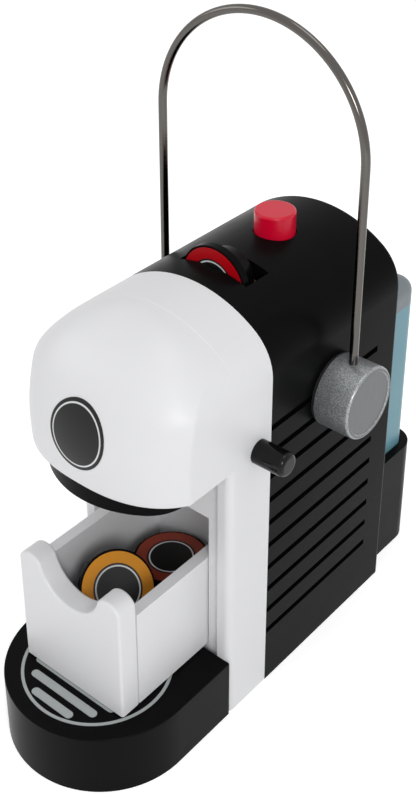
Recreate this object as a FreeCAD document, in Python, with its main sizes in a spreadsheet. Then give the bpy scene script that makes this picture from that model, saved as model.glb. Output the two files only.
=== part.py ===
"""Toy capsule coffee maker in painted wood: body, white head, pull-out drawer, bail handle, tank.

Millimetres. +Z is up, the front faces -Y, +X is to the right as the front is seen.
The origin is on the floor, under the middle of the whole toy.
"""
import FreeCAD, Part
import math
import os
import re

# Driving sizes
SIZES = {
    # arch-topped outline that frame, body and rear board share
    "body_half": 50.0,
    "body_height": 228.0,
    "arch_rise": 35.0,
    "arch_side_radius": 28.0,
    # lengths along the toy, front to back
    "tray_overhang": 0.2,
    "tray_straight": 38.9,
    "column_depth": 30.2,
    "shell_depth": 91.8,
    "rear_depth": 16.9,
    # drip tray
    "tray_height": 36.0,
    "tray_edge_round": 0.8,
    "ring_radius": 38.3,
    "ring_setback": 43.5,
    "ring_line": 1.6,
    "print_thick": 0.3,
    "bar_wide": 4.4,
    "bar_pitch": 7.9,
    "bar_end_gap": 10.3,
    # front frame and panel
    "column_wall": 8.0,
    "column_round": 4.0,
    "panel_setback": 3.0,
    "panel_thick": 9.0,
    "sill_gap": 0.8,
    "lintel_height": 119.5,
    # head
    "head_bottom": 155.5,
    "head_reach": 50.6,
    "head_tuck": 1.0,
    "head_belly": 15.5,
    "head_side_straight": 18.0,
    "head_corner_share": 0.92,
    "head_roundness": 1.9,
    "rim_thick": 9.0,
    "rim_inset": 9.4,
    "rim_setback": 0.8,
    "rim_side_straight": 20.0,
    "rim_corner_share": 0.8,
    "spout_radius": 11.0,
    "spout_drop": 6.0,
    "spout_setback": 27.0,
    "badge_radius": 16.6,
    "badge_thick": 0.5,
    "badge_rise": 11.6,
    # body shell with its grooves
    "wall": 9.0,
    "groove_first": 32.8,
    "groove_pitch": 14.5,
    "groove_count": 10.0,
    "groove_wide": 3.6,
    "groove_deep": 2.2,
    "groove_stop": 1.5,
    "rear_round": 3.0,
    # slot, chute and capsules
    "slot_play": 1.5,
    "slot_setback": 15.9,
    "slot_room": 3.0,
    "capsule_play": 0.9,
    "chute_wall": 4.0,
    "chute_gap": 5.8,
    "capsule_radius": 19.5,
    "capsule_flange": 4.0,
    "capsule_cup_top": 16.2,
    "capsule_cup_end": 13.6,
    "capsule_height": 14.5,
    "label_radius": 18.4,
    "label_thick": 0.3,
    "slot_capsule_sink": 9.3,
    # axle, knobs and bail
    "axle_setback": 50.3,
    "axle_height": 162.0,
    "axle_radius": 4.0,
    "running_gap": 0.05,
    "washer_gap": 0.3,
    "washer_thick": 1.9,
    "washer_radius": 18.6,
    "hub_radius": 19.3,
    "hub_long": 20.0,
    "hub_round": 1.6,
    "hub_dish": 0.5,
    "hub_lip": 2.2,
    "wire_radius": 2.25,
    "wire_out": 9.0,
    "bail_reach": 184.4,
    "wire_seat": 9.0,
    "finger_wide": 8.0,
    "finger_boss": 11.0,
    "finger_gap": 1.5,
    # stop pegs
    "peg_radius": 6.3,
    "peg_long": 17.9,
    "peg_height": 157.4,
    "peg_setback": 20.8,
    "peg_round": 2.4,
    # push button
    "button_radius": 10.7,
    "button_proud": 11.6,
    "button_sunk": 6.0,
    "button_setback": 65.3,
    "button_gap": 0.5,
    "button_travel": 5.0,
    "stem_radius": 4.5,
    "spring_radius": 7.0,
    "spring_wire": 0.8,
    "spring_turns": 4.0,
    "guide_half": 20.0,
    "guide_drop": 32.0,
    "guide_floor": 10.0,
    "collar_thick": 4.0,
    "collar_radius": 8.0,
    # drawer
    "drawer_half": 33.3,
    "drawer_out": 60.2,
    "drawer_front_thick": 12.0,
    "drawer_long": 100.0,
    "drawer_wall": 6.0,
    "drawer_back_thick": 6.0,
    "drawer_lift": 0.9,
    "drawer_bottom_thick": 6.0,
    "drawer_side_top": 94.2,
    "drawer_front_top": 101.0,
    "ear_round": 8.2,
    "lip_top": 102.5,
    "scoop_bottom": 87.0,
    "scoop_radius": 19.4,
    "drawer_gap": 0.8,
    "drawer_round": 1.5,
    "runner_height": 22.0,
    # tank and holder
    "tank_half": 37.5,
    "tank_deep": 39.6,
    "tank_top": 178.0,
    "tank_corner": 9.0,
    "tank_top_share": 0.92,
    "tank_gap": 0.6,
    "cap_high": 15.0,
    "holder_wall": 4.5,
    "holder_top": 68.0,
    "holder_floor": 8.0,
}

# Places and part sizes that follow from the driving sizes
PLACES = {
    "holder_depth": "tank_deep + 2 * tank_gap + holder_wall",
    "tray_half": "body_half + tray_overhang",
    "total_long": "tray_half + tray_straight + column_depth + shell_depth + rear_depth + holder_depth",
    "y_front": "0 - total_long / 2",
    "y_column": "y_front + tray_half + tray_straight",
    "y_joint": "y_column + column_depth",
    "y_seam": "y_joint + shell_depth",
    "y_rear": "y_seam + rear_depth",
    "arch_spring": "body_height - arch_rise",
    "arch_top_radius": "(body_half * body_half + arch_rise * arch_rise - 2 * body_half * arch_side_radius)"
                       " / (2 * (arch_rise - arch_side_radius))",
    "arch_centre": "body_height - arch_top_radius",
    "arch_lean_x": "(body_half - arch_side_radius) / (arch_top_radius - arch_side_radius)",
    "arch_lean_z": "(arch_spring - arch_centre) / (arch_top_radius - arch_side_radius)",
    "sill_height": "tray_height + sill_gap",
    "head_bottom_reach": "head_reach - head_tuck",
    "head_wide_height": "head_bottom + head_belly",
    "badge_height": "head_wide_height + badge_rise",
    "rim_half": "body_half - rim_inset",
    "rim_reach": "head_bottom_reach - rim_setback",
    "slot_half": "capsule_radius + slot_play",
    "slot_long": "capsule_height + slot_room",
    "slot_capsule_centre": "body_height - slot_capsule_sink",
    "chute_bottom": "drawer_side_top + chute_gap",
    "cap_bottom": "tank_top - cap_high",
    "y_panel": "y_column + panel_setback",
    "y_panel_back": "y_panel + panel_thick",
    "y_ring": "y_column - ring_setback",
    "y_slot": "y_joint + slot_setback",
    "y_slot_back": "y_slot + slot_long",
    "y_axle": "y_joint + axle_setback",
    "y_button": "y_joint + button_setback",
    "y_peg": "y_column + peg_setback",
    "hub_inner": "body_half + washer_gap + washer_thick",
    "hub_outer": "hub_inner + hub_long",
    "wire_x": "hub_inner + wire_out",
    "bail_top": "axle_height + bail_reach",
    "capsule_bottom": "slot_capsule_centre - capsule_radius",
    "button_top": "body_height + button_proud",
    "button_under": "body_height - button_sunk - wall / 4",
    "guide_bottom": "body_height - guide_drop",
    "guide_shelf": "guide_bottom + guide_floor",
    "y_drawer": "y_column - drawer_out",
    "y_drawer_box": "y_drawer + drawer_front_thick",
    "y_drawer_back": "y_drawer + drawer_long",
    "drawer_under": "tray_height + drawer_lift",
    "opening_half": "drawer_half + drawer_gap",
    "y_tank": "y_rear + tank_gap",
    "tank_under": "holder_floor",
    "cap_round": "tank_corner * tank_top_share",
    "holder_half": "tank_half + tank_gap + holder_wall",
    "holder_corner": "tank_corner + tank_gap + holder_wall",
    "y_holder_back": "y_rear + holder_depth",
}

BAR_PAIRS = 4
HELIX_PARTS = 4
HEAD_LEVELS = (0.0, 0.35, 0.7, 1.0)
HEAD_CROWN = (0.0, 0.18, 0.36, 0.52, 0.66, 0.78, 0.88, 0.945, 0.98, 0.997)
STRAIGHT_SHARE = 0.36

doc = FreeCAD.newDocument("toy_coffee_maker")
sheet = doc.addObject("Spreadsheet::Sheet", "Sizes")
FUNCTIONS = ("sqrt", "sin", "cos")


def spell(formula):
    """Writes a formula's size names as references to the sheet."""
    def reference(match):
        word = match.group(0)
        return word if word in FUNCTIONS else "Sizes." + word
    return re.sub(r"[a-z][a-z_]+", reference, str(formula))


def fill_sheet():
    row = 1
    for name, value in SIZES.items():
        sheet.set("A%d" % row, name)
        sheet.set("B%d" % row, str(value))
        sheet.setAlias("B%d" % row, name)
        row += 1
    for name, formula in PLACES.items():
        sheet.set("A%d" % row, name)
        sheet.set("B%d" % row, "=" + formula)
        sheet.setAlias("B%d" % row, name)
        row += 1
    doc.recompute()


fill_sheet()


def number(formula):
    """The value of a formula in millimetres."""
    value = sheet.evalExpression(spell(formula))
    return float(getattr(value, "Value", value))


def bind(thing, prop, formula):
    thing.setExpression(prop, spell(formula))


# Helpers for PartDesign pieces
PLANE_ROLES = {"XY": "XY_Plane", "XZ": "XZ_Plane", "YZ": "YZ_Plane"}
NORMAL_SIGN = {"XY": 1, "XZ": -1, "YZ": 1}


def new_body(name):
    body = doc.addObject("PartDesign::Body", name)
    body.Label = name
    return body


def origin_feature(body, role):
    for feature in body.Origin.OriginFeatures:
        if feature.Role == role:
            return feature
    raise ValueError(role)


def new_sketch(body, plane, at):
    """A sketch parallel to a base plane, at a signed distance along the world axis."""
    sketch = body.newObject("Sketcher::SketchObject", body.Label + "_sketch")
    sketch.AttachmentSupport = [(origin_feature(body, PLANE_ROLES[plane]), "")]
    sketch.MapMode = "FlatFace"
    sign = "" if NORMAL_SIGN[plane] > 0 else "0 - "
    bind(sketch, "AttachmentOffset.Base.z", sign + "(" + str(at) + ")")
    return sketch


def hold(sketch, edge, point, u, v):
    """Fixes one sketch point at (u, v), each a formula."""
    import Sketcher
    for kind, axis, formula in (("DistanceX", -2, u), ("DistanceY", -1, v)):
        if str(formula) in ("0", "0.0"):
            sketch.addConstraint(Sketcher.Constraint("PointOnObject", edge, point, axis))
            continue
        value = number(formula)
        index = sketch.addConstraint(Sketcher.Constraint(kind, -1, 1, edge, point, value))
        bind(sketch, "Constraints[%d]" % index, formula)


def draw_circle(sketch, u, v, radius):
    import Sketcher
    centre = FreeCAD.Vector(number(u), number(v), 0)
    edge = sketch.addGeometry(Part.Circle(centre, FreeCAD.Vector(0, 0, 1), number(radius)), False)
    hold(sketch, edge, 3, u, v)
    index = sketch.addConstraint(Sketcher.Constraint("Radius", edge, number(radius)))
    bind(sketch, "Constraints[%d]" % index, radius)


def arc_between(start, end, radius, turn):
    """The short arc from start to end, turning left (1) or right (-1)."""
    chord = end - start
    half = chord.Length / 2
    side = FreeCAD.Vector(-chord.y, chord.x, 0) / chord.Length * turn
    centre = (start + end) / 2 + side * math.sqrt(max(radius * radius - half * half, 0))
    first, last = (start, end) if turn > 0 else (end, start)
    begin = math.atan2(first.y - centre.y, first.x - centre.x)
    finish = math.atan2(last.y - centre.y, last.x - centre.x)
    circle = Part.Circle(centre, FreeCAD.Vector(0, 0, 1), radius)
    return Part.ArcOfCircle(circle, begin, finish)


def draw_outline(sketch, corners):
    """A closed outline. Each corner is (u, v), or (u, v, radius, turn) where an arc leaves it."""
    import Sketcher
    spots = [FreeCAD.Vector(number(corner[0]), number(corner[1]), 0) for corner in corners]
    ends = []
    for index, corner in enumerate(corners):
        start = spots[index]
        end = spots[(index + 1) % len(spots)]
        if len(corner) == 2:
            edge = sketch.addGeometry(Part.LineSegment(start, end), False)
            ends.append((edge, 1, 2))
            continue
        arc = arc_between(start, end, number(corner[2]), corner[3])
        edge = sketch.addGeometry(arc, False)
        ends.append((edge, 1, 2) if corner[3] > 0 else (edge, 2, 1))
    for index, corner in enumerate(corners):
        edge, first, last = ends[index]
        following, its_first, _ = ends[(index + 1) % len(ends)]
        sketch.addConstraint(Sketcher.Constraint("Coincident", edge, last, following, its_first))
    for index, corner in enumerate(corners):
        edge, first, last = ends[index]
        hold(sketch, edge, first, corner[0], corner[1])
        if len(corner) > 2:
            radius = sketch.addConstraint(Sketcher.Constraint("Radius", edge, number(corner[2])))
            bind(sketch, "Constraints[%d]" % radius, corner[2])


def sketch_of(body, plane, at, outlines, circles):
    sketch = new_sketch(body, plane, at)
    for corners in outlines:
        draw_outline(sketch, corners)
    for circle in circles:
        draw_circle(sketch, *circle)
    return sketch


def pad(body, plane, at, length, outlines=(), circles=()):
    """Adds material from the plane at `at` towards the positive axis."""
    feature = body.newObject("PartDesign::Pad", body.Label + "_pad")
    feature.Profile = sketch_of(body, plane, at, outlines, circles)
    bind(feature, "Length", length)
    feature.Reversed = NORMAL_SIGN[plane] < 0
    doc.recompute()
    return feature


def pocket(body, plane, at, length, outlines=(), circles=()):
    """Takes material away from the plane at `at` towards the positive axis."""
    before = body.Shape.Volume
    feature = body.newObject("PartDesign::Pocket", body.Label + "_pocket")
    feature.Profile = sketch_of(body, plane, at, outlines, circles)
    bind(feature, "Length", length)
    feature.Reversed = NORMAL_SIGN[plane] > 0
    doc.recompute()
    if body.Shape.Volume > before - 1.0:
        raise ValueError("a pocket in %s cuts nothing" % body.Label)
    return feature


def rectangle(low_u, low_v, high_u, high_v):
    return [(low_u, low_v), (high_u, low_v), (high_u, high_v), (low_u, high_v)]


def prism(name, plane, at, length, outlines=(), circles=()):
    body = new_body(name)
    pad(body, plane, at, length, outlines, circles)
    return body


def board(name, x_low, x_high, y_low, y_high, z_low, z_high):
    """A square-cut board between two heights."""
    outline = rectangle(x_low, y_low, x_high, y_high)
    return prism(name, "XY", z_low, "(%s) - (%s)" % (z_high, z_low), [outline])


def turned(name, corners, along, place):
    """A turned piece: a half profile (along, radius) swept round its axis, then put in place."""
    body = new_body(name)
    plane = "XY" if along == "X" else "XZ"
    sketch = new_sketch(body, plane, "0")
    draw_outline(sketch, corners)
    feature = body.newObject("PartDesign::Revolution", name + "_turned")
    feature.Profile = sketch
    feature.ReferenceAxis = (sketch, ["H_Axis" if along == "X" else "V_Axis"])
    feature.Angle = 360.0
    for axis, formula in zip("xyz", place):
        bind(body, "Placement.Base." + axis, formula)
    doc.recompute()
    return body


def edges_where(shape, test):
    return ["Edge%d" % (index + 1) for index, edge in enumerate(shape.Edges) if test(edge.BoundBox)]


def rounded(body, radius, test):
    """Rounds the edges whose bounding box passes a test."""
    names = edges_where(body.Tip.Shape, test)
    if not names:
        raise ValueError("no edge to round on %s" % body.Label)
    base = body.Tip
    feature = body.newObject("PartDesign::Fillet", body.Label + "_round")
    feature.Base = (base, names)
    bind(feature, "Radius", radius)
    doc.recompute()
    return feature


def near(value, formula):
    return abs(value - number(formula)) < 0.01


def arch(inset, low):
    """The arch-topped outline, drawn in by an inset, from a lower height up: five corners."""
    half = "(body_half - (%s))" % inset
    side = "arch_side_radius - (%s)" % inset
    top = "arch_top_radius - (%s)" % inset
    lean_x = "(%s) * arch_lean_x" % top
    lean_z = "arch_centre + (%s) * arch_lean_z" % top
    return [
        ("0 - " + half, low),
        (half, low),
        (half, "arch_spring", side, 1),
        (lean_x, lean_z, top, 1),
        ("0 - " + lean_x, lean_z, side, 1),
        ("0 - " + half, "arch_spring"),
    ]


def arch_band(thick):
    """Outline of a wall that follows the arch down to the floor on both sides."""
    outer = arch("0", "0")
    inner = arch(thick, "0")
    path = outer[1:] + outer[:1] + [inner[0]]
    for spot, arc in ((5, 4), (4, 3), (3, 2)):
        path.append(inner[spot][:2] + (inner[arc][2], -1))
    return path + [inner[2][:2], inner[1]]


# Drip tray, half round at the front
def build_tray():
    body = new_body("drip_tray")
    corner_y = "y_column - tray_straight"
    outline = [
        ("tray_half", "y_column"),
        ("0 - tray_half", "y_column"),
        ("0 - tray_half", corner_y, "tray_half", 1),
        ("0", "y_front", "tray_half", 1),
        ("tray_half", corner_y),
    ]
    pad(body, "XY", "0", "tray_height", [outline])
    rounded(body, "tray_edge_round", lambda box: near(box.ZMin, "tray_height") and not near(box.YMin, "y_column"))
    return body


def build_drip_print():
    """Light ring and rounded bars printed on the tray."""
    body = new_body("drip_print")
    ring = [("0", "y_ring", "ring_radius"), ("0", "y_ring", "ring_radius - ring_line")]
    pad(body, "XY", "tray_height", "print_thick", circles=ring)
    return body


def bar_outline(offset):
    """One rounded bar across the ring, at a distance from its middle."""
    middle = "y_ring + %s * bar_pitch" % offset
    end = "sqrt(ring_radius * ring_radius - (%s) * (%s) * bar_pitch * bar_pitch) - bar_end_gap" % (offset, offset)
    low = middle + " - bar_wide / 2"
    high = middle + " + bar_wide / 2"
    return [
        ("0 - (%s)" % end, low),
        (end, low, "bar_wide / 2", 1),
        ("%s + bar_wide / 2" % end, middle, "bar_wide / 2", 1),
        (end, high),
        ("0 - (%s)" % end, high, "bar_wide / 2", 1),
        ("0 - (%s) - bar_wide / 2" % end, middle, "bar_wide / 2", 1),
    ]


def build_drip_bars():
    body = new_body("drip_bars")
    outlines = [bar_outline(offset) for offset in range(-BAR_PAIRS, BAR_PAIRS + 1)]
    pad(body, "XY", "tray_height", "print_thick", outlines)
    return body


# White front: frame with two columns, panel with the drawer opening
def build_front_frame():
    body = prism("front_frame", "XZ", "y_column", "column_depth", [arch_band("column_wall")])

    def front_outer(box):
        on_face = near(box.YMin, "y_column") and near(box.YMax, "y_column")
        upright = near(abs(box.XMin), "body_half") and near(abs(box.XMax), "body_half")
        return on_face and upright

    rounded(body, "column_round", front_outer)
    pocket(body, "YZ", "0 - body_half - 1", "2 * body_half + 2", circles=[("y_peg", "peg_height", "peg_radius")])
    return body


def build_front_panel():
    body = prism("front_panel", "XZ", "y_panel", "panel_thick", [arch("column_wall", "0")])
    opening = rectangle("0 - opening_half", "sill_height", "opening_half", "lintel_height")
    pocket(body, "XZ", "y_panel", "panel_thick", [opening])
    return body


# Head: level slices that follow the arch at the back and a rounded nose at the front
def head_slice(height):
    """Half width and forward reach of the head at a height."""
    spring = number("arch_spring")
    half = number("body_half")
    rise = number("arch_rise")
    side = number("arch_side_radius")
    top = number("arch_top_radius")
    centre = number("arch_centre")
    lean = centre + top * number("arch_lean_z")
    if height > lean:
        half = math.sqrt(top * top - (height - centre) ** 2)
    elif height > spring:
        half = half - side + math.sqrt(side * side - (height - spring) ** 2)
    wide = number("head_wide_height")
    reach = number("head_reach")
    power = number("head_roundness")
    if height > wide:
        share = (height - wide) / (spring + rise - wide)
        reach = reach * (1 - share ** power) ** (1 / power)
    else:
        share = (wide - height) / (wide - number("head_bottom"))
        reach = reach - (reach - number("head_bottom_reach")) * share * share
    return half, reach


def nose_wire(half, reach, height, straight, share):
    """One level slice: straight back and sides, two corner arcs and a front arc."""
    y_back = number("y_column")
    deep = reach - straight
    corner = share * min(deep, half)
    front = (half * half + deep * deep - 2 * half * corner) / (2 * (deep - corner))
    lean = (half - corner) / (front - corner)
    centre = FreeCAD.Vector(half - corner, y_back - straight, height)
    meet = FreeCAD.Vector(front * lean, y_back - straight + front - deep, height)
    meet.y -= front * math.sqrt(1 - lean * lean)
    middle = centre + ((meet - centre) + FreeCAD.Vector(corner, 0, 0)).normalize() * corner
    tip = FreeCAD.Vector(0, y_back - reach, height)
    sides = []
    for sign in (1, -1):
        sides.append([FreeCAD.Vector(sign * spot.x, spot.y, height) for spot in (
            FreeCAD.Vector(half, y_back, height),
            FreeCAD.Vector(half, y_back - straight, height), middle, meet)])
    right, left = sides
    edges = [
        Part.LineSegment(right[0], right[1]).toShape(),
        Part.Arc(right[1], right[2], right[3]).toShape(),
        Part.Arc(right[3], tip, left[3]).toShape(),
        Part.Arc(left[3], left[2], left[1]).toShape(),
        Part.LineSegment(left[1], left[0]).toShape(),
        Part.LineSegment(left[0], right[0]).toShape(),
    ]
    return Part.Wire(edges)


def head_solid(layer):
    """The dome, with a layer of the given thickness added in front."""
    bottom = number("head_bottom")
    wide = number("head_wide_height")
    heights = [bottom + (wide - bottom) * share for share in HEAD_LEVELS]
    heights += [wide + (number("body_height") - wide) * share for share in HEAD_CROWN[1:]]
    wires = []
    for height in heights:
        half, reach = head_slice(height)
        reach += layer
        straight = min(number("head_side_straight"), STRAIGHT_SHARE * reach)
        wires.append(nose_wire(half, reach, height, straight, number("head_corner_share")))
    return Part.makeLoft(wires, True, False)


def build_head():
    feature = doc.addObject("Part::Feature", "head_dome")
    feature.Label = "head_dome"
    feature.Shape = head_solid(0)
    return feature


def build_rim():
    """Black plate under the head, narrower than the head at the sides."""
    low = number("head_bottom") - number("rim_thick")
    wire = nose_wire(number("rim_half"), number("rim_reach"), low,
                     number("rim_side_straight"), number("rim_corner_share"))
    slab = Part.Face(wire).extrude(FreeCAD.Vector(0, 0, number("rim_thick")))
    feature = doc.addObject("Part::Feature", "rim_plate")
    feature.Label = "rim_plate"
    feature.Shape = slab
    return feature


def build_spout():
    height = "spout_drop"
    corners = [
        ("0", "0"),
        ("spout_radius - 1", "0"),
        ("spout_radius", "1"),
        ("spout_radius", height),
        ("0", height),
    ]
    place = ("0", "y_column - spout_setback", "head_bottom - rim_thick - spout_drop")
    return turned("spout", corners, "Z", place)


def build_badge():
    """Round badge on the nose, a thin layer that follows the nose's curve."""
    centre = FreeCAD.Vector(0, number("y_front"), number("badge_height"))
    rod = Part.makeCylinder(number("badge_radius"), number("tray_half") * 1.5, centre, FreeCAD.Vector(0, 1, 0))
    layer = head_solid(number("badge_thick")).common(rod).cut(head_solid(0))
    feature = doc.addObject("Part::Feature", "badge")
    feature.Label = "badge"
    feature.Shape = layer.Solids[0]
    return feature


# Black body: grooved shell and rear board
def side_grooves(body, x_from):
    outline = rectangle("y_joint", "groove_first", "y_seam - groove_stop", "groove_first + groove_wide")
    cut = pocket(body, "YZ", x_from, "groove_deep", [outline])
    rows = body.newObject("PartDesign::LinearPattern", "groove_rows")
    rows.Originals = [cut]
    rows.Direction = (origin_feature(body, "Z_Axis"), [""])
    bind(rows, "Length", "groove_pitch * (groove_count - 1)")
    bind(rows, "Occurrences", "groove_count")
    body.Tip = rows
    doc.recompute()


def build_shell():
    body = prism("body_shell", "XZ", "y_joint", "shell_depth", [arch_band("wall")])
    slot = rectangle("0 - slot_half", "y_slot", "slot_half", "y_slot_back")
    pocket(body, "XY", "arch_spring", "arch_rise + 1", [slot], [("0", "y_button", "button_radius + button_gap")])
    axle_hole = [("y_axle", "axle_height", "axle_radius + running_gap")]
    pocket(body, "YZ", "0 - body_half - 1", "2 * body_half + 2", circles=axle_hole)
    side_grooves(body, "body_half - groove_deep")
    side_grooves(body, "0 - body_half")
    return body


def build_rear_board():
    body = prism("rear_board", "XZ", "y_seam", "rear_depth", [arch("0", "0")])

    def back_outer(box):
        return near(box.YMin, "y_rear") and near(box.YMax, "y_rear") and not near(box.ZMax, "0")

    rounded(body, "rear_round", back_outer)
    return body


def build_floor():
    return board("floor_board", "wall - body_half", "body_half - wall", "y_panel_back", "y_seam", "0", "tray_height")


def build_runners():
    left = board("runner_left", "wall - body_half", "0 - opening_half", "y_panel_back", "y_seam",
                 "tray_height", "tray_height + runner_height")
    right = board("runner_right", "opening_half", "body_half - wall", "y_panel_back", "y_seam",
                  "tray_height", "tray_height + runner_height")
    return left, right


def hanging_block(name, half, y_low, y_high, bottom):
    """A block that hangs from the inside of the arch and fits its curve."""
    shoulder = "arch_centre + sqrt((arch_top_radius - wall) * (arch_top_radius - wall) - (%s) * (%s))" % (half, half)
    outline = [
        ("0 - (%s)" % half, bottom),
        (half, bottom),
        (half, shoulder, "arch_top_radius - wall", 1),
        ("0 - (%s)" % half, shoulder),
    ]
    return prism(name, "XZ", y_low, "(%s) - (%s)" % (y_high, y_low), [outline])


def build_chute():
    body = hanging_block("capsule_chute", "slot_half + chute_wall", "y_slot - chute_wall",
                         "y_slot_back + chute_wall", "chute_bottom")
    inside = rectangle("0 - slot_half", "y_slot", "slot_half", "y_slot_back")
    pocket(body, "XY", "chute_bottom - 1", "body_height - chute_bottom", [inside])
    half = "(finger_wide / 2 + finger_gap)"
    window = rectangle("0 - " + half, "chute_bottom + chute_wall", half, "capsule_bottom + chute_wall")
    pocket(body, "XZ", "y_slot - chute_wall - 1", "slot_long + 2 * chute_wall + 2", [window])
    return body


# Handle: axle, knobs, wire bail and the finger that carries the slot capsule
def build_axle():
    corners = [("0 - wire_x + wire_radius + 1", "0"), ("wire_x - wire_radius - 1", "0"),
               ("wire_x - wire_radius - 1", "axle_radius"), ("0 - wire_x + wire_radius + 1", "axle_radius")]
    return turned("axle", corners, "X", ("0", "y_axle", "axle_height"))


def knob_profile(sign):
    """Half profile of a knob: blind axle bore inside, dished face with a lip outside."""
    def out(formula):
        return formula if sign > 0 else "0 - (%s)" % formula
    turn = -sign
    bore_end = "wire_x - wire_radius - 0.5"
    return [
        (out("hub_inner"), "axle_radius"),
        (out("hub_inner"), "hub_radius"),
        (out("hub_outer - hub_round"), "hub_radius", "hub_round", turn),
        (out("hub_outer"), "hub_radius - hub_round"),
        (out("hub_outer"), "hub_radius - hub_lip"),
        (out("hub_outer - hub_dish"), "hub_radius - hub_lip - hub_dish"),
        (out("hub_outer - hub_dish"), "0"),
        (out(bore_end), "0"),
        (out(bore_end), "axle_radius"),
    ]


def build_knob(name, sign):
    body = turned(name, knob_profile(sign), "X", ("0", "y_axle", "axle_height"))
    x = "wire_x" if sign > 0 else "0 - wire_x"
    pocket(body, "XY", "hub_radius - wire_seat", "wire_seat + 1", circles=[(x, "0", "wire_radius")])
    return body


def build_washer(name, sign):
    inner = "body_half + washer_gap" if sign > 0 else "0 - body_half - washer_gap"
    outer = "hub_inner" if sign > 0 else "0 - hub_inner"
    corners = [(inner, "axle_radius"), (outer, "axle_radius"), (outer, "washer_radius"), (inner, "washer_radius")]
    return turned(name, corners, "X", ("0", "y_axle", "axle_height"))


def build_bail():
    """Round wire: two straight legs and a half-round top, its ends seated in the knobs."""
    import Sketcher
    body = new_body("bail_handle")
    path = new_sketch(body, "XZ", "y_axle")
    low = number("axle_height + hub_radius - wire_seat")
    knee = number("bail_top - wire_x")
    reach = number("wire_x")
    left_leg = Part.LineSegment(FreeCAD.Vector(-reach, low, 0), FreeCAD.Vector(-reach, knee, 0))
    bow = Part.ArcOfCircle(Part.Circle(FreeCAD.Vector(0, knee, 0), FreeCAD.Vector(0, 0, 1), reach), 0, math.pi)
    right_leg = Part.LineSegment(FreeCAD.Vector(reach, knee, 0), FreeCAD.Vector(reach, low, 0))
    for edge in (left_leg, bow, right_leg):
        path.addGeometry(edge, False)
    path.addConstraint(Sketcher.Constraint("Coincident", 0, 2, 1, 2))
    path.addConstraint(Sketcher.Constraint("Coincident", 1, 1, 2, 1))
    hold(path, 0, 1, "0 - wire_x", "axle_height + hub_radius - wire_seat")
    hold(path, 0, 2, "0 - wire_x", "bail_top - wire_x")
    hold(path, 2, 1, "wire_x", "bail_top - wire_x")
    hold(path, 2, 2, "wire_x", "axle_height + hub_radius - wire_seat")
    level = path.addConstraint(Sketcher.Constraint("DistanceY", -1, 1, 1, 3, knee))
    bind(path, "Constraints[%d]" % level, "bail_top - wire_x")
    section = new_sketch(body, "XY", "axle_height + hub_radius - wire_seat")
    draw_circle(section, "0 - wire_x", "y_axle", "wire_radius")
    doc.recompute()
    pipe = body.newObject("PartDesign::AdditivePipe", "bail_wire")
    pipe.Profile = section
    pipe.Spine = (path, ["Edge1", "Edge2", "Edge3"])
    doc.recompute()
    return body


def build_finger():
    """Wooden finger on the axle whose tip holds up the capsule in the slot."""
    body = new_body("gate_finger")
    half = "finger_wide / 2"
    pad(body, "YZ", "0 - " + half, "finger_wide", circles=[("y_axle", "axle_height", "finger_boss")])
    tip_front = "y_slot + finger_gap"
    arm = [
        ("y_axle - finger_boss / 2", "axle_height - finger_boss / 2"),
        ("y_axle + finger_boss / 2", "axle_height + finger_boss / 2"),
        ("y_slot + finger_boss", "capsule_bottom - washer_gap"),
        (tip_front, "capsule_bottom - washer_gap"),
        (tip_front, "capsule_bottom - finger_boss"),
    ]
    pad(body, "YZ", "0 - " + half, "finger_wide", [arm])
    pocket(body, "YZ", "0 - " + half + " - 1", "finger_wide + 2", circles=[("y_axle", "axle_height", "axle_radius")])
    return body


def build_peg(name, sign):
    """Stop peg pressed through the column, rounded at its outer end."""
    def out(formula):
        return formula if sign > 0 else "0 - (%s)" % formula
    corners = [
        (out("body_half - column_wall"), "0"),
        (out("body_half - column_wall"), "peg_radius"),
        (out("body_half + peg_long - peg_round"), "peg_radius", "peg_round", -sign),
        (out("body_half + peg_long"), "peg_radius - peg_round"),
        (out("body_half + peg_long"), "0"),
    ]
    return turned(name, corners, "X", ("0", "y_peg", "peg_height"))


# Push button with its guide, spring and collar
def build_button():
    corners = [
        ("0", "guide_bottom - collar_thick"),
        ("stem_radius", "guide_bottom - collar_thick"),
        ("stem_radius", "button_under"),
        ("button_radius", "button_under"),
        ("button_radius", "button_top - 1.2", "1.2", 1),
        ("button_radius - 1.2", "button_top"),
        ("0", "button_top"),
    ]
    return turned("button", corners, "Z", ("0", "y_button", "0"))


def build_button_guide():
    body = hanging_block("button_guide", "guide_half", "y_button - button_radius - chute_wall",
                         "y_button + button_radius + chute_wall", "guide_bottom")
    pocket(body, "XY", "guide_shelf", "guide_drop", circles=[("0", "y_button", "button_radius + button_gap")])
    pocket(body, "XY", "guide_bottom - 1", "guide_floor + 2", circles=[("0", "y_button", "stem_radius + button_gap")])
    return body


def build_collar():
    corners = [("stem_radius", "0"), ("collar_radius", "0"), ("collar_radius", "collar_thick"), ("stem_radius", "collar_thick")]
    return turned("button_collar", corners, "Z", ("0", "y_button", "guide_bottom - collar_thick"))


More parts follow.
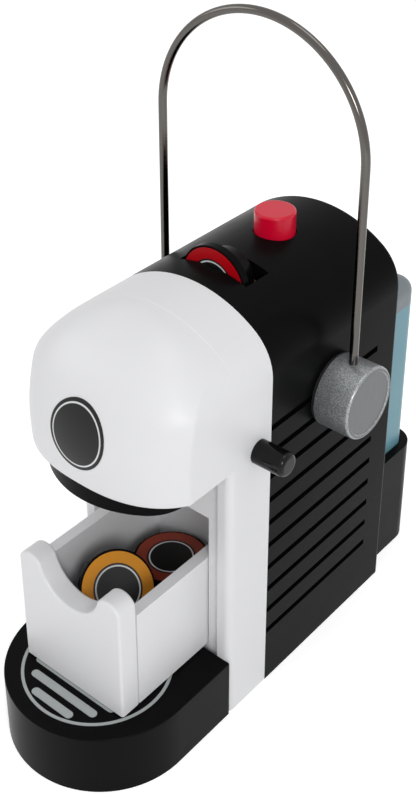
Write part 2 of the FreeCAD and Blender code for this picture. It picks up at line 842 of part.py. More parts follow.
def build_spring():
    """Coil spring of quarter turns between the guide's shelf and the button."""
    radius = number("spring_radius")
    wire = number("spring_wire")
    low = number("guide_shelf") + wire
    high = number("button_under") - wire
    steps = int(number("spring_turns")) * HELIX_PARTS
    y_middle = number("y_button")

    def spot(step):
        angle = 2 * math.pi * step / HELIX_PARTS
        rise = low + (high - low) * step / steps
        return FreeCAD.Vector(radius * math.cos(angle), y_middle + radius * math.sin(angle), rise)

    edges = [Part.Arc(spot(step), spot(step + 0.5), spot(step + 1)).toShape() for step in range(steps)]
    spine = Part.Wire(edges)
    heading = spine.Edges[0].tangentAt(spine.Edges[0].FirstParameter)
    circle = Part.Wire([Part.makeCircle(wire, spot(0), heading)])
    shell = Part.BRepOffsetAPI.MakePipeShell(spine)
    shell.add(circle)
    shell.build()
    shell.makeSolid()
    feature = doc.addObject("Part::Feature", "button_spring")
    feature.Label = "button_spring"
    feature.Shape = shell.shape()
    return feature


# Drawer
def build_drawer_front():
    """Thick front wall with a finger scoop between two rounded ears."""
    body = new_body("drawer_front")
    drop = "(scoop_bottom + scoop_radius - lip_top)"
    lip = "sqrt(scoop_radius * scoop_radius - %s * %s)" % (drop, drop)
    outline = [
        ("0 - drawer_half", "drawer_under"),
        ("drawer_half", "drawer_under"),
        ("drawer_half", "drawer_front_top", "ear_round", 1),
        (lip, "lip_top", "scoop_radius", -1),
        ("0", "scoop_bottom", "scoop_radius", -1),
        ("0 - " + lip, "lip_top", "ear_round", 1),
        ("0 - drawer_half", "drawer_front_top"),
    ]
    pad(body, "XZ", "y_drawer", "drawer_front_thick", [outline])

    def front_or_back_rim(box):
        flat = abs(box.YMax - box.YMin) < 0.01
        high = box.ZMax > number("scoop_bottom") - 1
        return flat and high and (near(box.YMin, "y_drawer") or near(box.YMin, "y_drawer_box"))

    rounded(body, "drawer_round", front_or_back_rim)
    return body


def build_drawer_box():
    wall_in = "drawer_half - drawer_wall"
    low = "drawer_under"
    top = "drawer_side_top"
    left = board("drawer_side_left", "0 - drawer_half", "0 - (%s)" % wall_in, "y_drawer_box", "y_drawer_back", low, top)
    right = board("drawer_side_right", wall_in, "drawer_half", "y_drawer_box", "y_drawer_back", low, top)
    back = board("drawer_back", "0 - (%s)" % wall_in, wall_in, "y_drawer_back - drawer_back_thick",
                 "y_drawer_back", low, top)
    bottom = board("drawer_bottom", "0 - (%s)" % wall_in, wall_in, "y_drawer_box",
                   "y_drawer_back - drawer_back_thick", low, low + " + drawer_bottom_thick")
    return left, right, back, bottom


# Capsules: a cup with a flange, and a printed label on the flange
def capsule_profile():
    return [
        ("0", "0 - capsule_height"),
        ("capsule_cup_end", "0 - capsule_height"),
        ("capsule_cup_top", "0 - capsule_flange"),
        ("capsule_radius", "0 - capsule_flange"),
        ("capsule_radius", "0"),
        ("0", "0"),
    ]


def build_capsule(name, place, tilt, heading):
    """A capsule whose label faces up, tilted towards -Y by an angle and then turned about Z."""
    turn = FreeCAD.Rotation(FreeCAD.Vector(0, 0, 1), heading)
    lean = FreeCAD.Rotation(FreeCAD.Vector(1, 0, 0), tilt)
    made = []
    label = [("0", "0"), ("label_radius", "0"), ("label_radius", "label_thick"), ("0", "label_thick")]
    for part_name, corners in ((name, capsule_profile()), (name + "_label", label)):
        body = turned(part_name, corners, "Z", place)
        body.Placement.Rotation = turn.multiply(lean)
        made.append(body)
    doc.recompute()
    return made


def build_capsules():
    """One capsule stands in the slot. In the drawer one leans on its edge beside a stack of two."""
    floor = "drawer_under + drawer_bottom_thick"
    room = "(drawer_half - drawer_wall - capsule_radius)"
    back = "y_drawer_back - drawer_back_thick - capsule_radius"
    front = "y_drawer_box + capsule_radius"
    stacked = floor + " + 2 * capsule_height + label_thick"
    build_capsule("capsule_red", ("0", "y_slot + capsule_play", "slot_capsule_centre"), 90, 0)
    build_capsule("capsule_brown", (room + " - 4.8", back + " - 4.3", stacked), 0, 0)
    build_capsule("capsule_yellow", (room + " - 5", front + " - 0.8", floor + " + 35.6"), 48, 66)
    build_capsule("capsule_green", ("5.8 - " + room, back + " - 1.5", floor + " + capsule_height"), 0, 0)
    build_capsule("capsule_blue", ("1.3 - " + room, front + " + 0.5", floor + " + capsule_height"), 0, 0)


# Water tank and the holder it stands in
def cornered(half, y_low, y_high, corner):
    """A plan outline, square at the front and rounded at the two back corners."""
    return [
        ("0 - (%s)" % half, y_low),
        (half, y_low),
        (half, "(%s) - (%s)" % (y_high, corner), corner, 1),
        ("(%s) - (%s)" % (half, corner), y_high),
        ("(%s) - (%s)" % (corner, half), y_high, corner, 1),
        ("0 - (%s)" % half, "(%s) - (%s)" % (y_high, corner)),
    ]


def build_tank():
    back = "y_tank + tank_deep"
    body = prism("water_tank", "XY", "tank_under", "cap_bottom - tank_under",
                 [cornered("tank_half", "y_tank", back, "tank_corner")])
    cap = prism("tank_cap", "XY", "cap_bottom", "tank_top - cap_bottom",
                [cornered("tank_half", "y_tank", back, "tank_corner")])

    def top_rim(box):
        return near(box.ZMin, "tank_top") and not near(box.YMax, "y_tank")

    rounded(cap, "cap_round", top_rim)
    return body, cap


def build_holder():
    body = prism("tank_holder", "XY", "0", "holder_top",
                 [cornered("holder_half", "y_rear", "y_holder_back", "holder_corner")])
    inside = cornered("tank_half + tank_gap", "y_rear", "y_tank + tank_deep + tank_gap", "tank_corner + tank_gap")
    pocket(body, "XY", "holder_floor", "holder_top", [inside])
    return body


def build_all():
    build_tray()
    build_drip_print()
    build_drip_bars()
    build_front_frame()
    build_front_panel()
    build_head()
    build_rim()
    build_spout()
    build_badge()
    build_shell()
    build_rear_board()
    build_floor()
    build_runners()
    build_chute()
    build_axle()
    build_knob("knob_right", 1)
    build_knob("knob_left", -1)
    build_washer("washer_right", 1)
    build_washer("washer_left", -1)
    build_bail()
    build_finger()
    build_peg("stop_peg_right", 1)
    build_peg("stop_peg_left", -1)
    build_button()
    build_button_guide()
    build_collar()
    build_spring()
    build_drawer_front()
    build_drawer_box()
    build_tank()
    build_holder()
    build_capsules()


def check_document():
    """Stops when a feature failed or a piece has no valid solid."""
    doc.recompute()
    for thing in doc.Objects:
        if "Invalid" in thing.State or "Error" in thing.State:
            raise ValueError("%s failed: %s" % (thing.Name, thing.State))


def pieces():
    kinds = ("PartDesign::Body", "Part::Feature")
    return [thing for thing in doc.Objects if thing.TypeId in kinds]


def export_pieces():
    os.makedirs("parts", exist_ok=True)
    for piece in pieces():
        shape = piece.Shape
        if shape.isNull() or not shape.isValid() or not shape.Solids:
            raise ValueError("%s has no valid solid" % piece.Label)
        shape.exportStep("parts/%s.step" % piece.Label)
        box = shape.BoundBox
        print("%-20s %2d solids  %9.0f mm3  x %.1f..%.1f  y %.1f..%.1f  z %.1f..%.1f" % (
            piece.Label, len(shape.Solids), shape.Volume,
            box.XMin, box.XMax, box.YMin, box.YMax, box.ZMin, box.ZMax))


build_all()
check_document()
export_pieces()
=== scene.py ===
# %% [markdown]
# # A toy coffee maker in painted wood
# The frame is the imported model: every board, knob and capsule where the maker put it, in metres.
# This file gives each piece its finish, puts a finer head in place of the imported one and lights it.

# %% Load the frame
import bpy
import bmesh
import math
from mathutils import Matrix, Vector


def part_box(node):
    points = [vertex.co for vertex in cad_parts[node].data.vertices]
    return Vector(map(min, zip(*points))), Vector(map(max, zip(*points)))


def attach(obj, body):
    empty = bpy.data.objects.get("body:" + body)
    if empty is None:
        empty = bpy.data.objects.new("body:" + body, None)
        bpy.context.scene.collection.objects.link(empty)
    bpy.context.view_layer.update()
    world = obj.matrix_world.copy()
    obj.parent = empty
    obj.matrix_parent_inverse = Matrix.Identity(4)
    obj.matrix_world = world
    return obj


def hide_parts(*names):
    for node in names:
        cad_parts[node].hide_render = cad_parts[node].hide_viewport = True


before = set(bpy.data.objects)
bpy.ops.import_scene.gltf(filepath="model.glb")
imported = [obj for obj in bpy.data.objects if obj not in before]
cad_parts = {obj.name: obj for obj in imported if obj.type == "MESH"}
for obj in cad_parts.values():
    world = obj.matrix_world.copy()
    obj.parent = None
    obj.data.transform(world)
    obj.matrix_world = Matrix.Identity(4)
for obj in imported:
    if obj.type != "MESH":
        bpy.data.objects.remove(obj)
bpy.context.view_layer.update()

# %% [markdown]
# Colours are written as a designer would, as sRGB hex values, and one function turns them into
# the linear numbers that a shader wants. One more function adds a node, sets it and links it,
# and small ones make the noise, the blends and the bumps that the finishes are built of.

# %% Helpers for colours and nodes
MM = 0.001


def colour(code):
    """A six-digit hex colour as linear red, green, blue and alpha."""
    parts = [int(code[i:i + 2], 16) / 255 for i in (0, 2, 4)]
    return [p / 12.92 if p <= 0.04045 else ((p + 0.055) / 1.055) ** 2.4 for p in parts] + [1.0]


def add(tree, kind, settings=None, **inputs):
    """Adds a node. An input that is a socket is linked, and any other is set."""
    node = tree.nodes.new(kind)
    for key, value in (settings or {}).items():
        setattr(node, key, value)
    for key, value in inputs.items():
        numbered = key[0] == "i" and key[1:].isdigit()
        socket = node.inputs[int(key[1:]) if numbered else key.replace("_", " ")]
        if isinstance(value, bpy.types.NodeSocket):
            tree.links.new(value, socket)
        else:
            socket.default_value = value
    return node


def new_material(name):
    """An empty material with a Principled shader joined to its output."""
    material = bpy.data.materials.new(name)
    material.use_nodes = True
    tree = material.node_tree
    tree.nodes.clear()
    output = tree.nodes.new("ShaderNodeOutputMaterial")
    shader = tree.nodes.new("ShaderNodeBsdfPrincipled")
    tree.links.new(shader.outputs[0], output.inputs[0])
    return material, tree, shader


def noise(tree, place, size_mm, detail, **more):
    """Noise whose features are about size_mm across."""
    scale = 1 / (size_mm * MM)
    return add(tree, "ShaderNodeTexNoise", Vector=place, Scale=scale, Detail=detail, **more).outputs[0]


def blend(tree, factor, first, second):
    """The colour between two, each a socket or a linear colour."""
    return add(tree, "ShaderNodeMix", {"data_type": "RGBA"}, Factor=factor, i6=first, i7=second).outputs[2]


def spread(tree, value, low, high, start=0.0, end=1.0):
    """Maps low to start and high to end, and holds what lies outside."""
    return add(tree, "ShaderNodeMapRange", Value=value, i1=low, i2=high, i3=start, i4=end).outputs[0]


def darker(code, share):
    """A hex colour with its light cut to a share."""
    return [c * share for c in colour(code)[:3]] + [1.0]


def bumpy(tree, shader, height, strength, depth_mm):
    """Shades the surface as if a height of 1 in the map stood out by depth_mm."""
    bump = add(tree, "ShaderNodeBump", Height=height, Strength=strength, Distance=depth_mm * MM)
    tree.links.new(bump.outputs[0], shader.inputs["Normal"])


print("white is", colour("FFFFFF"))

# %% [markdown]
# Painted wood. The toy is sanded board under a coat of sprayed satin lacquer. The wood's grain
# still lifts the coat by a few hundredths of a millimetre, and sprayed lacquer dries with a soft
# pebbled skin, so light breaks up in both. A noise stretched along the board gives the grain, and
# a fine round noise gives the skin. A slow noise moves the colour and the gloss a little, as
# rubbed paint does. The satin black also gets small grey nicks, as chipped paint has. The blacks
# and the red have a specular level below the usual 0.5, so that they mirror less of the white
# surroundings.

# %% Painted wood
GRAIN_MM = 1.6
SKIN_MM = 0.9
CLOUD_MM = 40.0
NICK_MM = 5.0
GRAIN_STRETCH = 0.06
GRAIN_SHARE = 0.7
GRAIN_LIFT_MM = 0.05
NICK_FROM, NICK_TO = 0.745, 0.76
NOISE_LOW, NOISE_HIGH = 0.3, 0.7
GLOSS_DOWN, GLOSS_UP = 0.05, 0.06
X, Y, Z = 0, 1, 2


def painted_wood(name, code, rough=0.35, grain_axis=Z, grain=0.12, shade=0.93, nick=None, spec=0.5):
    """Satin lacquer on wood, its grain running along one axis."""
    material, tree, shader = new_material(name)
    place = add(tree, "ShaderNodeTexCoord").outputs["Object"]
    stretch = [1.0, 1.0, 1.0]
    stretch[grain_axis] = GRAIN_STRETCH
    along = add(tree, "ShaderNodeMapping", Vector=place, Scale=stretch).outputs[0]
    lines = noise(tree, along, GRAIN_MM, 3.0)
    skin = noise(tree, place, SKIN_MM, 1.0)
    cloud = noise(tree, place, CLOUD_MM, 4.0)
    tint = blend(tree, cloud, darker(code, shade), colour(code))
    if nick:
        spots = noise(tree, place, NICK_MM, 5.0, Roughness=0.75)
        tint = blend(tree, spread(tree, spots, NICK_FROM, NICK_TO), tint, colour(nick))
    tree.links.new(tint, shader.inputs["Base Color"])
    gloss = spread(tree, cloud, NOISE_LOW, NOISE_HIGH, rough - GLOSS_DOWN, rough + GLOSS_UP)
    tree.links.new(gloss, shader.inputs["Roughness"])
    lift = add(tree, "ShaderNodeMath", {"operation": "MULTIPLY_ADD"}, i0=lines, i1=GRAIN_SHARE, i2=skin)
    bumpy(tree, shader, lift.outputs[0], grain, GRAIN_LIFT_MM)
    shader.inputs["IOR"].default_value = 1.5
    shader.inputs["Specular IOR Level"].default_value = spec
    print(name, "grain", GRAIN_MM, "mm")
    return material


white_paint = painted_wood("white_satin_lacquer_on_wood", "E4E4E6", 0.4, grain=0.08, shade=0.96)
black_paint = painted_wood("black_satin_lacquer_on_wood", "0C0C0D", 0.3, grain_axis=Y, grain=0.2,
                           shade=0.7, nick="77736E", spec=0.03)
black_gloss = painted_wood("black_gloss_lacquer_on_wood", "0C0C0D", 0.12, grain_axis=X, grain=0.08, spec=0.2)
black_tray_paint = painted_wood("black_matt_lacquer_on_wood", "0C0C0D", 0.3, grain_axis=X, grain=0.2,
                                shade=0.75, spec=0.04)
grey_paint = painted_wood("grey_satin_lacquer_on_wood", "767F84", 0.4, grain_axis=X, grain=0.2)
red_paint = painted_wood("red_gloss_lacquer_on_wood", "DC0630", 0.24, grain=0.05, shade=0.8, spec=0.3)
blue_paint = painted_wood("blue_satin_lacquer_on_wood", "6596A4", 0.4, grain=0.1)

# %% [markdown]
# The knobs are turned wood sprayed with silver paint, which holds small metal flakes. The colour
# is picked by which way the surface faces: the rounded side gets dark and bright specks, the flakes'
# grain with painted glints, and the flat face a darker even grey, a painted shade. The face is told
# from the side by its normal, which points along the axle.

# %% Silver paint with metal flakes
FLAKE_MM = 0.5
FLAKE_FROM, FLAKE_TO = 0.38, 0.62
FLAKE_LIFT_MM = 0.06
FACE_FROM, FACE_TO = 0.85, 0.98


def silver_paint():
    """Silver lacquer: flake grain with painted glints on the side of a knob, and an even darker grey, a
    painted shade, on its face.
    """
    material, tree, shader = new_material("silver_flake_lacquer_with_painted_glints_and_shade")
    where = add(tree, "ShaderNodeTexCoord")
    flakes = noise(tree, where.outputs["Object"], FLAKE_MM, 3.0, Roughness=0.7)
    along_axle = add(tree, "ShaderNodeSeparateXYZ", Vector=where.outputs["Normal"]).outputs[0]
    facing = add(tree, "ShaderNodeMath", {"operation": "ABSOLUTE"}, i0=along_axle).outputs[0]
    flake_grain_and_glints = spread(tree, flakes, FLAKE_FROM, FLAKE_TO)
    # The bright specks on the side are painted glints over the flakes' grain, and the face's darker even
    # grey is painted shade.
    side_grain_and_painted_glints = blend(tree, flake_grain_and_glints, colour("66696B"), colour("B9BCBE"))
    face_painted_shade = blend(tree, flake_grain_and_glints, colour("626466"), colour("6C6E70"))
    tint = blend(tree, spread(tree, facing, FACE_FROM, FACE_TO), side_grain_and_painted_glints, face_painted_shade)
    tree.links.new(tint, shader.inputs["Base Color"])
    bumpy(tree, shader, flakes, 0.12, FLAKE_LIFT_MM)
    shader.inputs["Metallic"].default_value = 0.65
    shader.inputs["Roughness"].default_value = 0.36
    print("silver flakes", FLAKE_MM, "mm")
    return material


silver = silver_paint()

# %% [markdown]
# The photograph doesn't show the inside of the body. Its wood is taken to be bare beech: pale,
# with its grain along the toy's length.

# %% Bare beech
BEECH_STRETCH = 0.08


def bare_beech():
    """Unpainted beech with fine grain lines along Y."""
    material, tree, shader = new_material("bare_beech")
    place = add(tree, "ShaderNodeTexCoord").outputs["Object"]
    along = add(tree, "ShaderNodeMapping", Vector=place, Scale=[1.0, BEECH_STRETCH, 1.0]).outputs[0]
    lines = noise(tree, along, GRAIN_MM, 4.0)
    tree.links.new(blend(tree, lines, colour("C69C6D"), colour("E3C39A")), shader.inputs["Base Color"])
    bumpy(tree, shader, lines, 0.3, GRAIN_LIFT_MM)
    shader.inputs["Roughness"].default_value = 0.6
    print("bare_beech")
    return material


beech = bare_beech()

# %% [markdown]
# The bail is plated steel wire: fully metallic, so its colour is the base colour. That colour is
# darker than real nickel's, because this world is white wherever a mirror looks. A fine noise
# varies the roughness, which breaks up the highlight a little.

# %% Plated wire and spring steel
WIRE_MARKS_MM = 2.5


def bright_metal(name, code, rough):
    """Bare metal of one colour with a slightly uneven polish."""
    material, tree, shader = new_material(name)
    place = add(tree, "ShaderNodeTexCoord").outputs["Object"]
    marks = noise(tree, place, WIRE_MARKS_MM, 3.0)
    polish = spread(tree, marks, NOISE_LOW, NOISE_HIGH, rough, rough + GLOSS_UP)
    tree.links.new(polish, shader.inputs["Roughness"])
    shader.inputs["Base Color"].default_value = colour(code)
    shader.inputs["Metallic"].default_value = 1.0
    print(name)
    return material


nickel = bright_metal("nickel_plated_steel_wire", "5E5B58", 0.1)
spring_steel = bright_metal("drawn_spring_steel", "9C9C9E", 0.3)

# %% [markdown]
# Printed colours: silk-screened ink on the flat faces. Ink has a slightly matt, even look. The
# washers' black nylon is made by the same recipe.

# %% Printed ink
INK_MM = 1.5


def ink(name, code, rough=0.45):
    """One even colour of ink or plastic with a faint mottle."""
    material, tree, shader = new_material(name)
    place = add(tree, "ShaderNodeTexCoord").outputs["Object"]
    fine = noise(tree, place, INK_MM, 2.0)
    tree.links.new(blend(tree, fine, darker(code, 0.9), colour(code)), shader.inputs["Base Color"])
    shader.inputs["Roughness"].default_value = rough
    print(name)
    return material


grey_ink = ink("grey_screen_print", "A3A8A8")
black_nylon = ink("black_moulded_nylon", "1C1C1E", 0.5)

# %% [markdown]
# The capsule labels are printed in rings: a coloured band, and a dark middle with one thin pale
# line near its edge. The distance of a point from the label's middle picks the ink. The badge is
# black with the line only, so the same recipe does it. It is wrapped on a curved nose, so its
# distance is taken straight on, without the depth.

# %% Ringed prints
LINE_MM = 0.75
DARK_BEYOND = LINE_MM * MM * 1.8
SOFT = 0.12 * MM
LABEL_LINE = 11.3 * MM
BADGE_LINE = 14.6 * MM
PALE_LINE = "D9DADA"


def middle_of(node):
    """The middle of a node's box, in metres."""
    low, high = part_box(node)
    return [(a + b) / 2 for a, b in zip(low, high)]


def ringed_print(name, node, band, middle, line_at, flatten=(1, 1, 1)):
    """Ink in rings round a node's middle: a band outside, and inside it dark with a pale line."""
    material, tree, shader = new_material(name)
    place = add(tree, "ShaderNodeTexCoord").outputs["Object"]
    centre = [c * f for c, f in zip(middle_of(node), flatten)]
    spot = add(tree, "ShaderNodeVectorMath", {"operation": "MULTIPLY"}, i0=place, i1=flatten).outputs[0]
    far = add(tree, "ShaderNodeVectorMath", {"operation": "DISTANCE"}, i0=spot, i1=centre).outputs["Value"]
    tint = blend(tree, noise(tree, place, INK_MM, 2.0), darker(band, 0.88), colour(band))
    inside = line_at + DARK_BEYOND
    tint = blend(tree, spread(tree, far, inside + SOFT, inside - SOFT), tint, colour(middle))
    off = add(tree, "ShaderNodeMath", {"operation": "SUBTRACT"}, i0=far, i1=line_at).outputs[0]
    off = add(tree, "ShaderNodeMath", {"operation": "ABSOLUTE"}, i0=off).outputs[0]
    half = LINE_MM * MM / 2
    tint = blend(tree, spread(tree, off, half + SOFT, half - SOFT), tint, colour(PALE_LINE))
    tree.links.new(tint, shader.inputs["Base Color"])
    shader.inputs["Roughness"].default_value = 0.35
    shader.inputs["Specular IOR Level"].default_value = 0.3
    print(name, "line at", round(line_at / MM, 1), "mm")
    return material


label_bands = {"red": "B4000F", "brown": "963C28", "yellow": "D98D0B", "green": "5B8A3A", "blue": "3D6E9E"}
labels = {}
for word, band in label_bands.items():
    node = "capsule_%s_label" % word
    labels[node] = ringed_print("screen_print_%s_label" % word, node, band, "141415", LABEL_LINE)
badge_ink = ringed_print("screen_print_badge", "badge", "0B0B0C", "0B0B0C", BADGE_LINE, flatten=(1, 0, 1))

# %% [markdown]
# Which finish goes where. The boards that show are painted, and the wood inside the body is bare.
# The green and the blue capsule are hidden in the photograph, and their colours are invented.

# %% Give each node its finish
finishes = {
    "drip_tray": black_tray_paint, "drip_print": grey_ink, "drip_bars": grey_ink,
    "front_frame": white_paint, "front_panel": white_paint, "head_dome": white_paint,
    "rim_plate": black_paint, "spout": black_paint, "badge": badge_ink,
    "body_shell": black_paint, "rear_board": black_paint, "floor_board": beech,
    "runner_left": beech, "runner_right": beech, "capsule_chute": beech, "axle": beech,
    "knob_right": silver, "knob_left": silver, "washer_right": black_nylon, "washer_left": black_nylon,
    "bail_handle": nickel, "gate_finger": beech, "stop_peg_right": black_gloss, "stop_peg_left": black_gloss,
    "button": red_paint, "button_guide": beech, "button_collar": beech, "button_spring": spring_steel,
    "drawer_front": white_paint, "drawer_side_left": white_paint, "drawer_side_right": white_paint,
    "drawer_back": white_paint, "drawer_bottom": white_paint,
    "water_tank": blue_paint, "tank_cap": grey_paint, "tank_holder": black_tray_paint,
    "capsule_red": black_paint, "capsule_brown": black_paint, "capsule_yellow": black_paint,
    "capsule_green": black_paint, "capsule_blue": black_paint,
    **labels,
}
for node, material in finishes.items():
    thing = bpy.data.objects[node]
    for slot in thing.material_slots:
        slot.material = material
print(len(finishes), "nodes have a finish")

# %% [markdown]
# The photograph shows one crease on the head: the line where its flat side, level with the
# frame, meets the rounded front. Above the shoulder that line fades away and the front runs
# smoothly into the arch. Each level is a superellipse wider than the frame, cut off by the two
# flat sides. The imported head has no crease, so this piece takes its place. It keeps the imported
# head's box, apart from a skirt at the back that covers the frame's rounded edge.

# %% Sizes of the head
ARCH_RISE = 35 * MM
ARCH_SIDE = 28 * MM
HEAD_BELLY = 15.5 * MM
HEAD_TUCK = 1.0 * MM
CROWN_POWER = 1.9
FACE_POWER = 2.5
TOP_POWER = 3.4
SIDE_CUT = 6.0 * MM
FADE_START, FADE_END = 2 * MM, 20 * MM
FRAME_ROUND = 4.0 * MM
EDGE_SOFT = 1.3 * MM
EDGE_STEPS = 4
LEVELS = 60
ROUND_STEPS = 40
NEAR_CREASE = 0.985
SIDE_STEPS = 4
MERGE = 0.000004
TINY = 0.000001
print("crease at a cut of", round(SIDE_CUT / MM, 1), "mm")


# %% Outline of the head at each height
def smooth(value, low, high):
    """Rises softly from 0 at low to 1 at high."""
    t = min(max((value - low) / (high - low), 0.0), 1.0)
    return t * t * (3 - 2 * t)


def arch_half(height, half, top):
    """Half width of the arch-topped outline at a height."""
    spring = top - ARCH_RISE
    crown = (half ** 2 + ARCH_RISE ** 2 - 2 * half * ARCH_SIDE) / (2 * (ARCH_RISE - ARCH_SIDE))
    centre = top - crown
    shoulder = centre + crown * (spring - centre) / (crown - ARCH_SIDE)
    if height <= spring:
        return half
    if height < shoulder:
        return half - ARCH_SIDE + math.sqrt(ARCH_SIDE ** 2 - (height - spring) ** 2)
    return math.sqrt(max(crown ** 2 - (height - centre) ** 2, 0.0))


def head_reach(height, low, top, reach):
    """How far the nose comes forward at a height."""
    belly = low + HEAD_BELLY
    if height <= belly:
        return reach - HEAD_TUCK * ((belly - height) / HEAD_BELLY) ** 2
    share = (height - belly) / (top - belly)
    return reach * max(1 - share ** CROWN_POWER, 0.0) ** (1 / CROWN_POWER)


def head_level(height, low, top, half, reach, y_back, inset):
    """Right half of a level: from the nose to the crease, then back past the frame's round edge."""
    side = arch_half(height, half, top) - inset
    ahead = head_reach(height, low, top, reach) - inset
    shoulder = top - ARCH_RISE
    fade = 1 - smooth(height, shoulder + FADE_START, shoulder + FADE_END)
    power = FACE_POWER + (TOP_POWER - FACE_POWER) * smooth(height, shoulder, top)
    wide = side + SIDE_CUT * fade
    turn = math.asin((side / wide) ** (power / 2))
    turns = [NEAR_CREASE * turn * step / ROUND_STEPS for step in range(ROUND_STEPS + 1)] + [turn]
    points = []
    for angle in turns:
        across = math.sin(angle) ** (2 / power)
        along = max(math.cos(angle), 0.0) ** (2 / power)
        points.append((wide * across, y_back - ahead * along, height))
    flat = y_back - points[-1][1]
    shares = [min(0.5, EDGE_SOFT / (flat + TINY))]
    shares += [0.5 + 0.5 * step / SIDE_STEPS for step in range(1, SIDE_STEPS + 1)]
    points += [(side, y_back - flat * (1 - share), height) for share in shares]
    return points + [(side, y_back + FRAME_ROUND, height)]


print("one head level has", 2 * (ROUND_STEPS + SIDE_STEPS + 3) + 1, "points")


# %% Mesh of the head
def head_heights(low, top):
    """Heights of the levels, each with its inset. The lowest ones round the bottom edge."""
    places = []
    for step in range(EDGE_STEPS + 1):
        angle = math.pi / 2 * step / EDGE_STEPS
        places.append((low + EDGE_SOFT * (1 - math.sin(angle)), EDGE_SOFT * (1 - math.cos(angle))))
    places.sort()
    for step in range(1, LEVELS + 1):
        share = math.sin(math.pi / 2 * step / LEVELS)
        places.append((low + EDGE_SOFT + (top - low - EDGE_SOFT) * share, 0.0))
    return places


def skin_rings(shape, rings):
    """Faces between the levels and under the lowest one, with a crisp edge at the back."""
    for under, over in zip(rings, rings[1:]):
        for index in range(len(under)):
            after = (index + 1) % len(under)
            shape.faces.new((under[index], under[after], over[after], over[index]))
        for rim in (0, -1):
            shape.edges.get((under[rim], over[rim])).smooth = False
    shape.faces.new(list(reversed(rings[0])))
    bmesh.ops.remove_doubles(shape, verts=shape.verts, dist=MERGE)
    bmesh.ops.dissolve_degenerate(shape, edges=shape.edges, dist=MERGE)
    bmesh.ops.recalc_face_normals(shape, faces=shape.faces)
    for face in shape.faces:
        face.smooth = True


def smooth_head():
    """The painted head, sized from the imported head's box."""
    low_corner, high_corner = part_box("head_dome")
    low, top = low_corner[2], high_corner[2]
    half, y_back = high_corner[0], high_corner[1]
    reach = y_back - low_corner[1]
    shape = bmesh.new()
    rings = []
    for height, inset in head_heights(low, top):
        right = head_level(height, low, top, half, reach, y_back, inset)
        ring = [(-x, y, z) for x, y, z in reversed(right[1:])] + right
        rings.append([shape.verts.new(point) for point in ring])
    skin_rings(shape, rings)
    mesh = bpy.data.meshes.new("painted_head")
    shape.to_mesh(mesh)
    shape.free()
    mesh.materials.append(white_paint)
    head = bpy.data.objects.new("painted_head", mesh)
    bpy.context.collection.objects.link(head)
    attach(head, "housing")
    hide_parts("head_dome")
    print("head", len(mesh.vertices), "points, nose reach", round(reach / MM, 1), "mm")


smooth_head()

# %% [markdown]
# A plain pale sheet lies under the toy. It glows a little for the rays of the camera, of gloss
# and of transmission, and the toy's soft shadow stays on it. One function tells those three kinds
# of ray from the light that falls on the object.

# %% Floor
FLOOR_REACH = 6.0
FLOOR_GLOW = 0.5


def seen_directly(tree):
    """1 for rays of the camera, of gloss and of transmission, and 0 for the others."""
    path = add(tree, "ShaderNodeLightPath").outputs
    most = {"operation": "MAXIMUM"}
    seen = add(tree, "ShaderNodeMath", most, i0=path["Is Camera Ray"], i1=path["Is Glossy Ray"]).outputs[0]
    return add(tree, "ShaderNodeMath", most, i0=seen, i1=path["Is Transmission Ray"]).outputs[0]


def paper():
    """White paper that glows a little for the rays that see it directly."""
    material, tree, shader = new_material("pale_paper_sweep")
    shader.inputs["Base Color"].default_value = colour("F4F4F4")
    shader.inputs["Roughness"].default_value = 0.9
    shown = seen_directly(tree)
    strength = add(tree, "ShaderNodeMath", {"operation": "MULTIPLY"}, i0=shown, i1=FLOOR_GLOW).outputs[0]
    glow = add(tree, "ShaderNodeEmission", Color=colour("FFFFFF"), Strength=strength)
    both = add(tree, "ShaderNodeAddShader", i0=shader.outputs[0], i1=glow.outputs[0])
    output = next(node for node in tree.nodes if node.type == "OUTPUT_MATERIAL")
    tree.links.new(both.outputs[0], output.inputs[0])
    return material


def pale_floor():
    """The sheet, which is not part of the toy."""
    mesh = bpy.data.meshes.new("floor")
    far = FLOOR_REACH
    mesh.from_pydata([(-far, -far, 0), (far, -far, 0), (far, far, 0), (-far, far, 0)], [], [(0, 1, 2, 3)])
    mesh.materials.append(paper())
    floor = bpy.data.objects.new("floor", mesh)
    bpy.context.collection.objects.link(floor)
    print("floor", 2 * far, "m wide")


pale_floor()

# %% [markdown]
# The world lights the object evenly at about half strength, and looks white to the camera. Three
# soft lamps add to it: the key from near the camera's side, one from the left and one from above.

# %% World and lamps
WORLD_LIGHT = 0.55
AIM = (0, 0, 0.12)


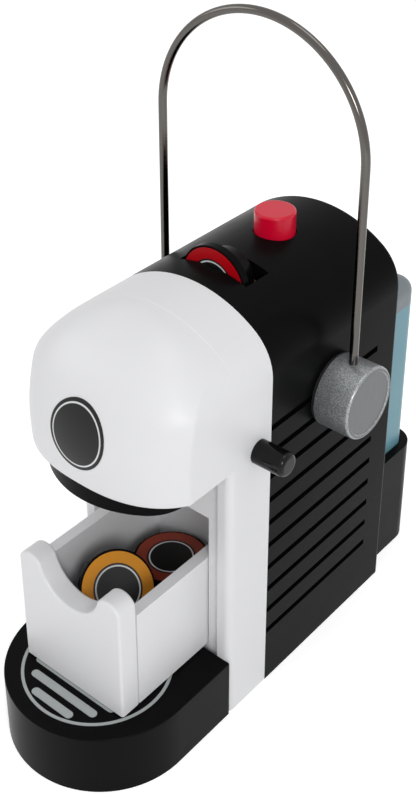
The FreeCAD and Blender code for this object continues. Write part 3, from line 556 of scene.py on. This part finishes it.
def pale_world():
    """White where it is seen directly, and weaker as a light."""
    world = bpy.data.worlds.new("studio")
    bpy.context.scene.world = world
    world.use_nodes = True
    tree = world.node_tree
    tree.nodes.clear()
    soft = add(tree, "ShaderNodeBackground", Color=colour("FFFFFF"), Strength=WORLD_LIGHT)
    bright = add(tree, "ShaderNodeBackground", Color=colour("FFFFFF"), Strength=1.0)
    both = add(tree, "ShaderNodeMixShader", i0=seen_directly(tree), i1=soft.outputs[0], i2=bright.outputs[0])
    output = tree.nodes.new("ShaderNodeOutputWorld")
    tree.links.new(both.outputs[0], output.inputs[0])


def lamp(name, place, size, power):
    """A round soft lamp that points at the toy, its size in metres and power in watts."""
    light = bpy.data.lights.new(name, "AREA")
    light.shape = "DISK"
    light.size = size
    light.energy = power
    thing = bpy.data.objects.new(name, light)
    thing.location = place
    thing.rotation_euler = (Vector(AIM) - Vector(place)).to_track_quat("-Z", "Y").to_euler()
    bpy.context.collection.objects.link(thing)
    print(name, power, "W")


pale_world()
lamp("key_lamp", (1.08, -0.86, 0.86), 0.5, 8)
lamp("left_lamp", (-1.3, -0.8, 0.9), 0.9, 3.5)
lamp("top_lamp", (0.2, 0.2, 1.8), 0.9, 4)
bpy.context.scene.view_settings.view_transform = "Standard"

# %% [markdown]
# The camera stands where the fit puts the photograph's: to the right, in front and above, about
# 0.77 m from the frame's origin. The optical centre is set at row 240 of the picture's 797, above
# its middle, so the lens is shifted and the camera is tilted down as well.

# %% Camera
SENSOR_MM = 36.0
NEAREST, FARTHEST = 0.01, 50.0
CAMERA_AT = (0.3490, -0.4202, 0.5393)
YAW, PITCH = 40.015, 28.565
FOCAL_PX, HEIGHT_PX, CENTRE_PX = 1308.1, 797, 240
camera = bpy.data.cameras.new("camera")
camera.sensor_width = SENSOR_MM
camera.lens = SENSOR_MM * FOCAL_PX / HEIGHT_PX
camera.shift_y = (CENTRE_PX - HEIGHT_PX / 2) / HEIGHT_PX
camera.clip_start = NEAREST
camera.clip_end = FARTHEST
stand = bpy.data.objects.new("camera", camera)
stand.location = CAMERA_AT
stand.rotation_euler = (math.radians(90 - PITCH), 0, math.radians(YAW))
bpy.context.collection.objects.link(stand)
bpy.context.scene.camera = stand
print("lens", round(camera.lens, 2), "mm, shift", round(camera.shift_y, 3))
